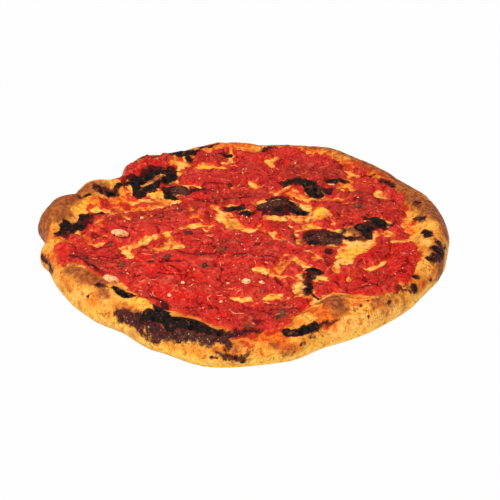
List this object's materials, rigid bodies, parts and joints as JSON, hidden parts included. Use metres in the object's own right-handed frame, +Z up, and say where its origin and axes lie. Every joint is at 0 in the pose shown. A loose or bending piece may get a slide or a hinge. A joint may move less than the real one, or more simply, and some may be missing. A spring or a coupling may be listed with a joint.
{
  "type": "tomato focaccia",
  "caption": "Round hand-shaped flat bread with a raised uneven rim, charred blisters and a torn crushed-tomato topping with garlic and herbs.",
  "frame": {"origin": "Middle of the flat underside, on the surface that the bread rests on.", "axes": "+Z is up, out of the topping. +X points to the right and -Y to the front, as the picture shows the bread."},
  "size_m": [0.3078, 0.2985, 0.0273],
  "materials": {
    "crust": "baked dough, golden to charred, with a thin film of oil",
    "tomato": "wet crushed tomato",
    "garlic": "oiled baked garlic"
  },
  "bodies": {
    "root": {"bread": "crust", "tomato_bed": "tomato", "tomato_piece_1": "tomato", "tomato_piece_2": "tomato", "tomato_piece_3": "tomato", "tomato_piece_4": "tomato", "tomato_piece_5": "tomato", "garlic_1": "garlic", "garlic_2": "garlic", "garlic_3": "garlic"}
  },
  "joints": []
}
